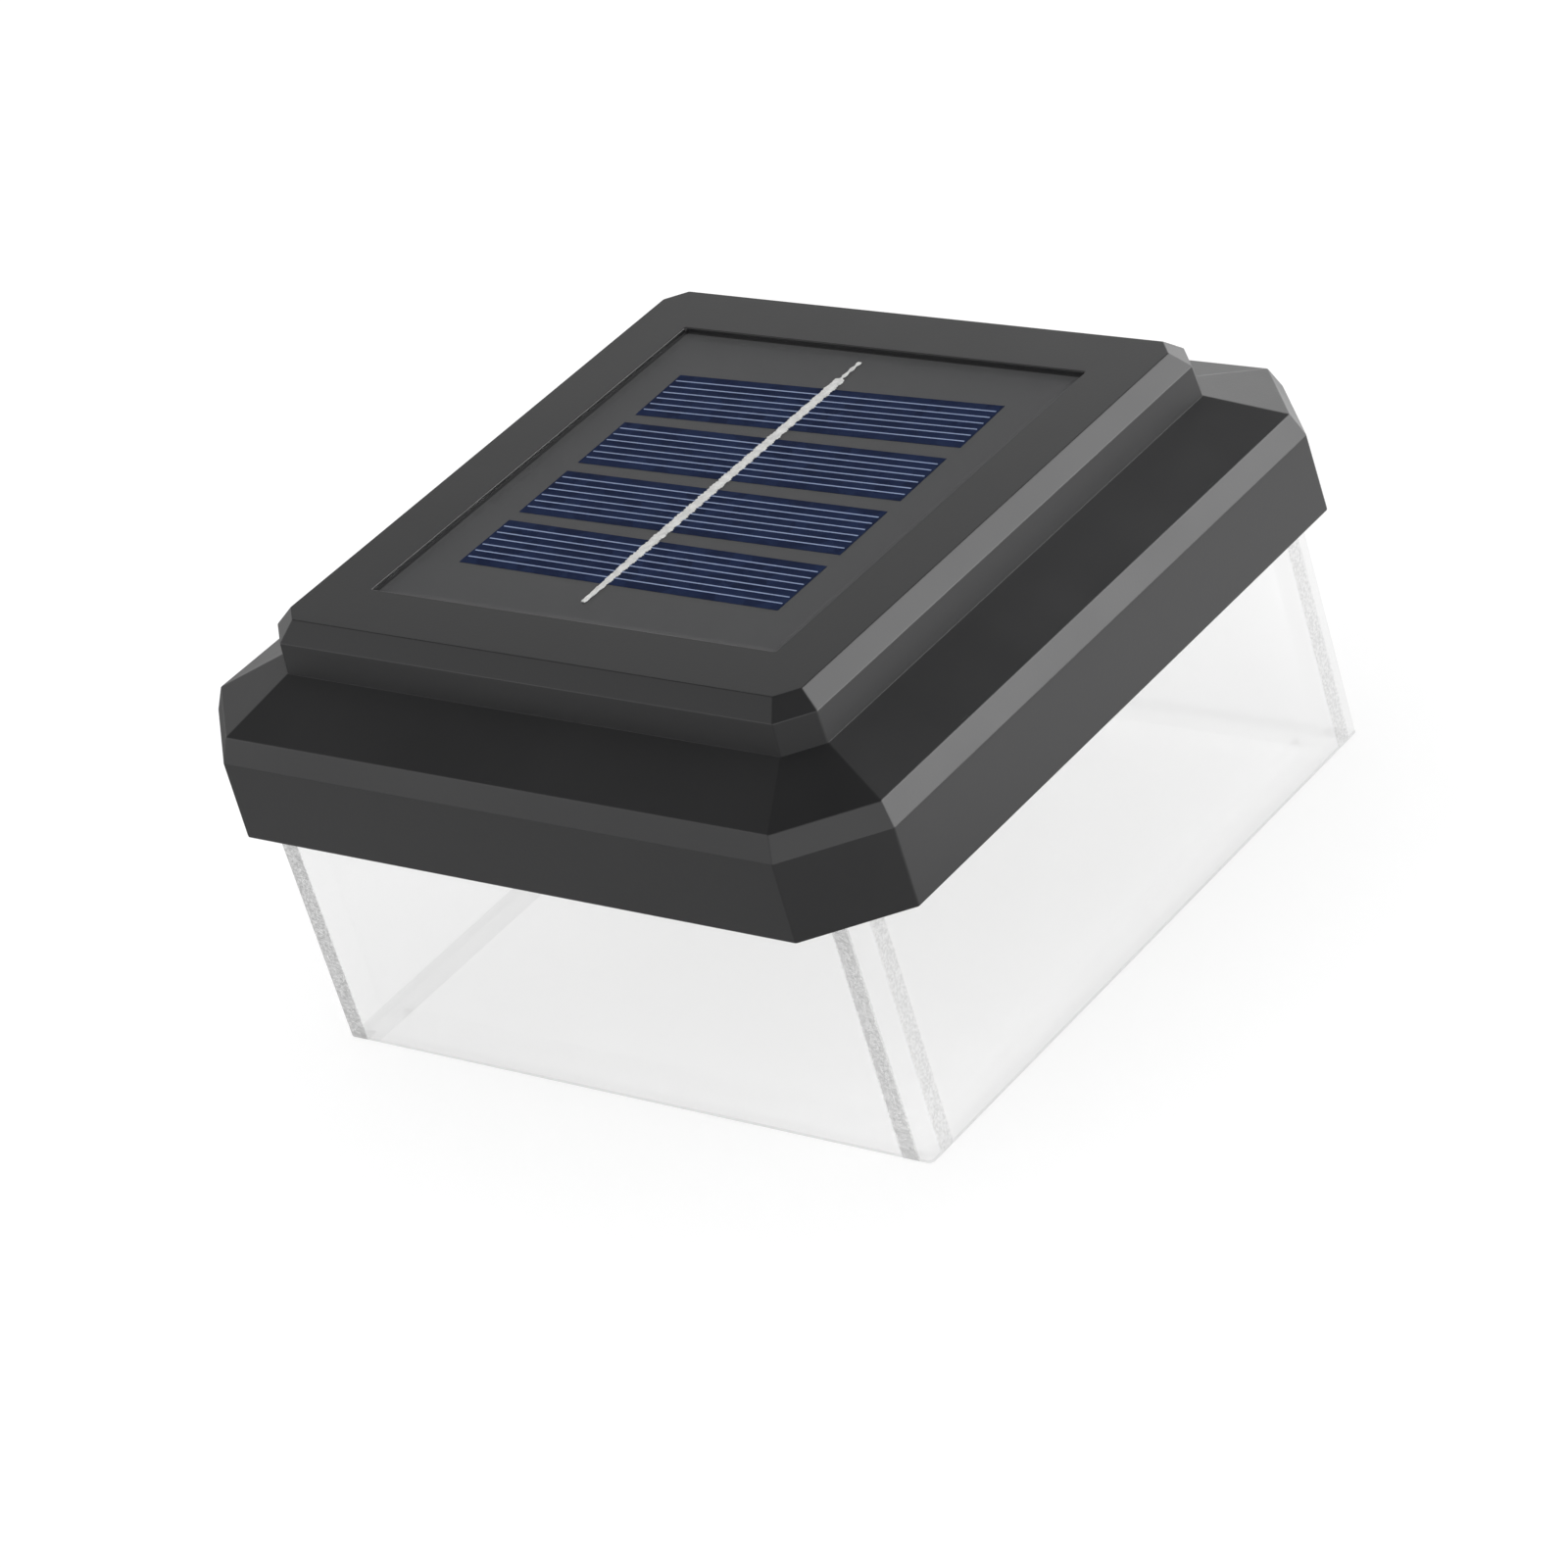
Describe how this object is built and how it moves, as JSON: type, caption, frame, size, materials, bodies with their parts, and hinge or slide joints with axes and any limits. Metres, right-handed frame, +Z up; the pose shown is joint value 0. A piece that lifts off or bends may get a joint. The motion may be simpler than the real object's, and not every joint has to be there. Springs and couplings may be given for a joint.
{
  "type": "solar post cap light",
  "caption": "Stepped square post cap with cut corners, a flush solar panel on top and a clear square lens below, lit by lamps in a white tray inside.",
  "frame": {"origin": "centre of the lens rim's lower face, which rests on the post", "axes": "+Z up through the solar panel; +X along the cell strips; +Y across them"},
  "size_m": [0.1246, 0.1246, 0.0688],
  "materials": {
    "cap_plastic": "fine satin moulded plastic, dark grey",
    "panel_backing": "dark grey laminate board",
    "cell_silicon": "polycrystalline silicon, navy",
    "tinned_copper": "rough solder-dipped ribbon and contacts",
    "front_film": "thin clear laminate",
    "foam_tape": "closed-cell foam",
    "black_rubber": "soft moulded rubber",
    "clear_lens": "clear moulded plastic",
    "white_plastic": "white satin moulded plastic",
    "zinc_steel": "zinc-plated steel",
    "board_laminate": "green solder mask",
    "chip_epoxy": "black moulding compound",
    "coil_winding": "enamelled copper winding",
    "can_sleeve": "sleeved aluminium can",
    "led_epoxy": "clear lamp epoxy",
    "switch_metal": "stamped steel shell",
    "switch_knob": "black nylon",
    "battery_sleeve": "green shrink sleeve with bare steel ends",
    "wire_red": "red insulation",
    "wire_black": "black insulation"
  },
  "bodies": {
    "cap_and_lens": {"cap_shell": "cap_plastic", "panel_board": "panel_backing", "solar_cells": "cell_silicon", "cell_ribbon": "tinned_copper", "panel_film": "front_film", "panel_tape": "foam_tape", "panel_pads": "tinned_copper", "lead_grommet": "black_rubber", "lens": "clear_lens", "lens_gasket": "black_rubber", "tray": "white_plastic", "tray_screws": "zinc_steel", "control_board": "board_laminate", "board_screws": "zinc_steel", "driver_chip": "chip_epoxy", "choke_coil": "coil_winding", "storage_capacitor": "can_sleeve", "leds": "led_epoxy", "switch_body": "switch_metal", "battery": "battery_sleeve", "battery_spring": "zinc_steel", "contact_positive": "tinned_copper", "contact_negative": "tinned_copper", "door_seal": "black_rubber", "lead_panel_red": "wire_red", "lead_panel_black": "wire_black", "lead_battery_red": "wire_red", "lead_battery_black": "wire_black"},
    "door": {"battery_door": "white_plastic", "door_screws": "zinc_steel"},
    "switch": {"switch_slider": "switch_knob"}
  },
  "joints": [
    {"name": "switch_slide", "type": "slide", "parent": "cap_and_lens", "child": "switch", "axis": [1, 0, 0], "range_m": [0, 0.002]},
    {"name": "battery_door_lift", "type": "slide", "parent": "cap_and_lens", "child": "door", "axis": [0, 0, -1], "range_m": [0, 0.03]}
  ]
}
